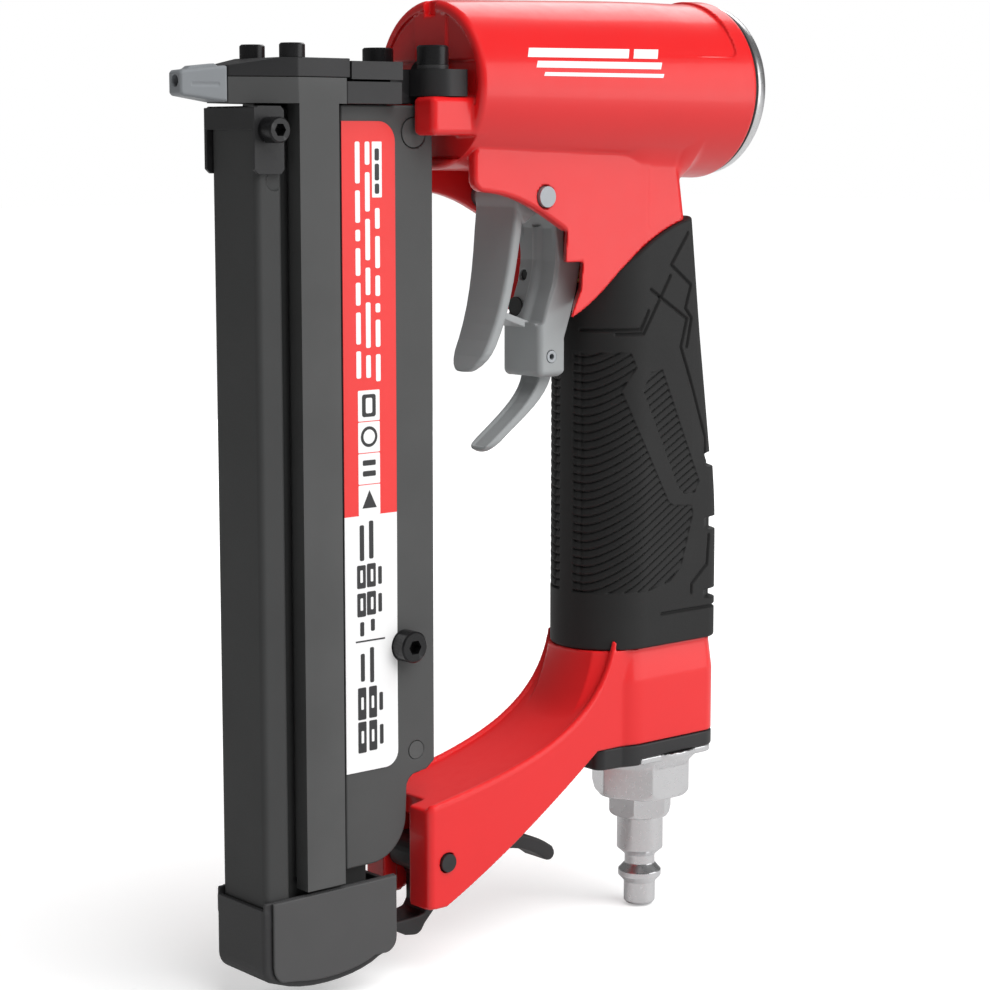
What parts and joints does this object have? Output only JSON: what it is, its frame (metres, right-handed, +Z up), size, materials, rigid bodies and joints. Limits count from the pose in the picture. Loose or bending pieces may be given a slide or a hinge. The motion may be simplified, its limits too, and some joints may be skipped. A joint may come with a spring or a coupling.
{
  "type": "pneumatic nail gun",
  "caption": "Pistol-shaped air tool: barrel with driver nose, upright side magazine with sliding front channel, ribbed rubber grip, two-stage trigger and a plug for an air hose.",
  "frame": {"origin": "middle of the bounding box in X and Y, level with the tip of the air plug", "axes": "X along the barrel with the nose towards -X, Z up along the handle and magazine, Y across the tool with the label side towards -Y"},
  "size_m": [0.157, 0.0426, 0.2245],
  "materials": {
    "red_paint": "glossy red paint on cast metal",
    "chrome": "bright plating",
    "seal_rubber": "moulded seal",
    "bumper_rubber": "firm moulded urethane",
    "aluminium": "turned",
    "tool_steel": "ground",
    "spring_steel": "drawn wire",
    "brass": "turned",
    "black_steel": "black oxide",
    "dark_steel": "dark grey satin coating",
    "grey_plastic": "grey moulding",
    "grey_metal": "satin",
    "black_plastic": "dark grey moulding",
    "label_film": "printed film",
    "grip_rubber": "ribbed soft moulding"
  },
  "bodies": {
    "tool_body": {"housing": "red_paint", "rear_cap": "chrome", "cap_gasket": "seal_rubber", "cylinder_sleeve": "aluminium", "sleeve_seals": "seal_rubber", "bumper": "bumper_rubber", "head_valve_spring": "spring_steel", "nose_flange": "black_steel", "guide_block": "black_steel", "driver_guide": "dark_steel", "nose_cover": "dark_steel", "nose_cover_screws": "black_steel", "nose_flange_screws": "black_steel", "flange_washers": "black_steel", "fixed_magazine": "dark_steel", "side_plates": "dark_steel", "label": "label_film", "side_screw": "black_steel", "plate_rivets": "dark_steel", "trigger_pin": "grey_metal", "valve_body": "brass", "valve_seal": "seal_rubber", "valve_spring": "spring_steel", "grip_sleeve": "grip_rubber", "inlet_bracket": "black_steel", "inlet_fitting": "chrome", "inlet_seal": "seal_rubber", "air_plug": "chrome", "latch_pin": "black_steel", "latch_spring": "spring_steel"},
    "piston": {"piston": "aluminium", "piston_seal": "seal_rubber", "driver_blade": "tool_steel"},
    "head_valve": {"head_valve": "brass", "head_valve_seal": "seal_rubber"},
    "magazine": {"sliding_magazine": "dark_steel", "stop_bracket": "black_steel", "bracket_screw": "black_steel", "foot_cap": "black_plastic", "foot_panels": "black_plastic", "spring_rod": "tool_steel", "pusher_spring": "spring_steel"},
    "pusher": {"pusher": "tool_steel"},
    "trigger": {"trigger": "grey_plastic", "safety_pin": "grey_metal", "safety_spring": "spring_steel"},
    "safety_lever": {"safety_lever": "grey_plastic"},
    "valve_stem": {"valve_stem": "tool_steel"},
    "latch_lever": {"latch_lever": "black_steel"},
    "no_mar_tip": {"no_mar_tip": "grey_plastic"}
  },
  "joints": [
    {"name": "piston_stroke", "type": "slide", "parent": "tool_body", "child": "piston", "axis": [-1, 0, 0], "range_m": [0, 0.03]},
    {"name": "head_valve_lift", "type": "slide", "parent": "tool_body", "child": "head_valve", "axis": [1, 0, 0], "range_m": [0, 0.003], "stiffness_N_per_m": 400, "springref_m": -0.003},
    {"name": "magazine_open", "type": "slide", "parent": "tool_body", "child": "magazine", "axis": [0, 0, -1], "range_m": [0, 0.075]},
    {"name": "pusher_feed", "type": "slide", "parent": "magazine", "child": "pusher", "axis": [0, 0, -1], "range_m": [0, 0.12], "stiffness_N_per_m": 30, "springref_m": -0.05, "deforming": ["pusher_spring"]},
    {"name": "trigger_pull", "type": "hinge", "parent": "tool_body", "child": "trigger", "pos_m": [0.0132, 0, 0.1782], "axis": [0, -1, 0], "range_deg": [0, 8], "stiffness_Nm_per_rad": 0.4, "springref_deg": -17.19},
    {"name": "safety_squeeze", "type": "hinge", "parent": "trigger", "child": "safety_lever", "pos_m": [0.0206, 0, 0.1408], "axis": [0, -1, 0], "range_deg": [0, 18], "stiffness_Nm_per_rad": 0.05, "springref_deg": -17.19},
    {"name": "valve_stem_press", "type": "slide", "parent": "tool_body", "child": "valve_stem", "axis": [1, 0, 0], "range_m": [0, 0.0026]},
    {"name": "latch_release", "type": "hinge", "parent": "tool_body", "child": "latch_lever", "pos_m": [-0.0156, 0, 0.0266], "axis": [0, -1, 0], "range_deg": [0, 15], "stiffness_Nm_per_rad": 0.15, "springref_deg": -17.19, "deforming": ["latch_spring"]},
    {"name": "tip_pull_off", "type": "slide", "parent": "tool_body", "child": "no_mar_tip", "axis": [-1, 0, 0], "range_m": [0, 0.012]}
  ],
  "couplings": [
    {"joint": "valve_stem_press", "follows": "trigger_pull", "m_per_rad": 0.018}
  ]
}
